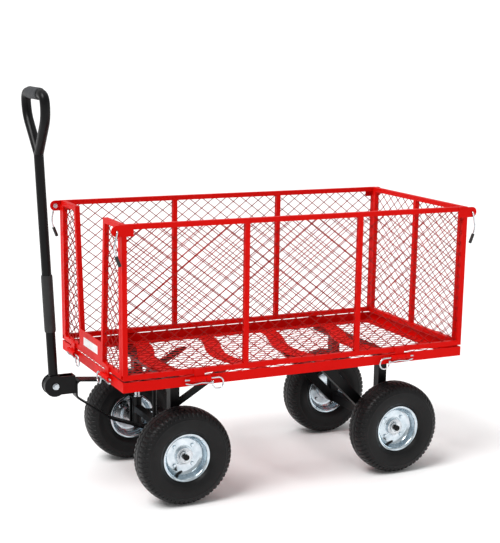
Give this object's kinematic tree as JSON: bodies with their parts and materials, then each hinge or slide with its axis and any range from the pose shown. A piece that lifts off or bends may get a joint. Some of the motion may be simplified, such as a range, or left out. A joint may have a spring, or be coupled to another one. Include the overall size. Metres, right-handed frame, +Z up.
{
  "type": "garden cart",
  "caption": "Garden utility cart: steel mesh tray with folding mesh side panels, knuckle steering, pneumatic wheels and a pull handle with a hand loop.",
  "frame": {"origin": "on the ground under the middle of the cart's overall bounding box", "axes": "-X is forward, the way the handle points; +Y is the cart's right side; +Z is up"},
  "size_m": [1.1872, 0.53, 1.0698],
  "materials": {
    "frame_red": "glossy red powder coat",
    "mesh_red": "thin red coat on welded mesh",
    "deck_coat": "red coat on expanded steel",
    "gear_black": "semi-gloss black powder coat",
    "zinc": "bright zinc plate",
    "rim_zinc": "zinc plated pressed steel",
    "tyre_rubber": "black tyre rubber",
    "valve_rubber": "black rubber",
    "grip_foam": "dark matte foam grip",
    "sleeve_vinyl": "matte black vinyl sleeve",
    "plate_white": "blank white plate"
  },
  "bodies": {
    "root": {"base_frame": "frame_red", "deck_mesh": "deck_coat", "deck_straps": "frame_red", "cross_members": "gear_black", "hinge_lugs": "frame_red", "hinge_clips": "zinc", "front_posts": "gear_black", "front_beam": "gear_black", "front_braces": "gear_black", "kingpins": "gear_black", "king_washers": "zinc", "rear_posts": "gear_black", "rear_braces": "gear_black", "rear_axle": "gear_black", "rear_retainers": "zinc"},
    "drawbar": {"drawbar_strap": "gear_black", "handle_clevis": "gear_black", "pivot_bolt": "zinc"},
    "link": {"tie_rod": "gear_black"},
    "handle": {"handle_tube": "gear_black", "handle_hub": "gear_black", "handle_sleeve": "sleeve_vinyl", "handle_grip": "grip_foam"},
    "steer_left": {"knuckle_left": "gear_black", "retainer_left": "zinc"},
    "steer_right": {"knuckle_right": "gear_black", "retainer_right": "zinc"},
    "wheel_front_left": {"tyre_front_left": "tyre_rubber", "rim_front_left": "rim_zinc", "hub_front_left": "zinc", "valve_front_left": "valve_rubber"},
    "wheel_front_right": {"tyre_front_right": "tyre_rubber", "rim_front_right": "rim_zinc", "hub_front_right": "zinc", "valve_front_right": "valve_rubber"},
    "wheel_rear_left": {"tyre_rear_left": "tyre_rubber", "rim_rear_left": "rim_zinc", "hub_rear_left": "zinc", "valve_rear_left": "valve_rubber"},
    "wheel_rear_right": {"tyre_rear_right": "tyre_rubber", "rim_rear_right": "rim_zinc", "hub_rear_right": "zinc", "valve_rear_right": "valve_rubber"},
    "fold_left": {"panel_left": "frame_red", "mesh_left": "mesh_red"},
    "fold_right": {"panel_right": "frame_red", "mesh_right": "mesh_red"},
    "fold_front": {"panel_front": "frame_red", "mesh_front": "mesh_red", "name_plate": "plate_white"},
    "fold_rear": {"panel_rear": "frame_red", "mesh_rear": "mesh_red"},
    "latch_front_left": {"hook_front_left": "zinc", "hook_washer_front_left": "zinc"},
    "latch_front_right": {"hook_front_right": "zinc", "hook_washer_front_right": "zinc"},
    "latch_rear_left": {"hook_rear_left": "zinc", "hook_washer_rear_left": "zinc"},
    "latch_rear_right": {"hook_rear_right": "zinc", "hook_washer_rear_right": "zinc"}
  },
  "joints": [
    {"name": "drawbar_turn", "type": "hinge", "parent": "root", "child": "drawbar", "pos_m": [-0.2634, 0, 0.2], "axis": [0, 0, 1], "range_deg": [-30, 30]},
    {"name": "steer_left_turn", "type": "hinge", "parent": "root", "child": "steer_left", "pos_m": [-0.2634, -0.136, 0.16], "axis": [0, 0, 1], "range_deg": [-30, 30]},
    {"name": "steer_right_turn", "type": "hinge", "parent": "root", "child": "steer_right", "pos_m": [-0.2634, 0.136, 0.16], "axis": [0, 0, 1], "range_deg": [-30, 30]},
    {"name": "link_turn", "type": "hinge", "parent": "drawbar", "child": "link", "pos_m": [-0.2034, 0, 0.155], "axis": [0, 0, 1], "range_deg": [-30, 30]},
    {"name": "handle_tilt", "type": "hinge", "parent": "drawbar", "child": "handle", "pos_m": [-0.5464, 0, 0.298], "axis": [0, -1, 0], "range_deg": [-5, 100]},
    {"name": "wheel_front_left_spin", "type": "hinge", "parent": "steer_left", "child": "wheel_front_left", "pos_m": [-0.2634, -0.204, 0.13], "axis": [0, 1, 0], "continuous": true},
    {"name": "wheel_front_right_spin", "type": "hinge", "parent": "steer_right", "child": "wheel_front_right", "pos_m": [-0.2634, 0.204, 0.13], "axis": [0, 1, 0], "continuous": true},
    {"name": "wheel_rear_left_spin", "type": "hinge", "parent": "root", "child": "wheel_rear_left", "pos_m": [0.3796, -0.204, 0.13], "axis": [0, 1, 0], "continuous": true},
    {"name": "wheel_rear_right_spin", "type": "hinge", "parent": "root", "child": "wheel_rear_right", "pos_m": [0.3796, 0.204, 0.13], "axis": [0, 1, 0], "continuous": true},
    {"name": "fold_left_hinge", "type": "hinge", "parent": "root", "child": "fold_left", "pos_m": [0.0616, -0.2585, 0.347], "axis": [1, 0, 0], "range_deg": [0, 135]},
    {"name": "fold_right_hinge", "type": "hinge", "parent": "root", "child": "fold_right", "pos_m": [0.0616, 0.2585, 0.347], "axis": [-1, 0, 0], "range_deg": [0, 135]},
    {"name": "fold_front_hinge", "type": "hinge", "parent": "root", "child": "fold_front", "pos_m": [-0.4519, 0, 0.347], "axis": [0, -1, 0], "range_deg": [0, 90]},
    {"name": "fold_rear_hinge", "type": "hinge", "parent": "root", "child": "fold_rear", "pos_m": [0.5751, 0, 0.347], "axis": [0, 1, 0], "range_deg": [0, 135]},
    {"name": "latch_front_left_swing", "type": "hinge", "parent": "fold_left", "child": "latch_front_left", "pos_m": [-0.4564, -0.2565, 0.737], "axis": [0, 1, 0], "range_deg": [-60, 60]},
    {"name": "latch_front_right_swing", "type": "hinge", "parent": "fold_right", "child": "latch_front_right", "pos_m": [-0.4564, 0.2565, 0.737], "axis": [0, 1, 0], "range_deg": [-60, 60]},
    {"name": "latch_rear_left_swing", "type": "hinge", "parent": "fold_left", "child": "latch_rear_left", "pos_m": [0.5796, -0.2565, 0.737], "axis": [0, 1, 0], "range_deg": [-60, 60]},
    {"name": "latch_rear_right_swing", "type": "hinge", "parent": "fold_right", "child": "latch_rear_right", "pos_m": [0.5796, 0.2565, 0.737], "axis": [0, 1, 0], "range_deg": [-60, 60]}
  ],
  "couplings": [
    {"joint": "steer_left_turn", "follows": "drawbar_turn", "ratio": 1},
    {"joint": "steer_right_turn", "follows": "drawbar_turn", "ratio": 1},
    {"joint": "link_turn", "follows": "drawbar_turn", "ratio": -1}
  ]
}
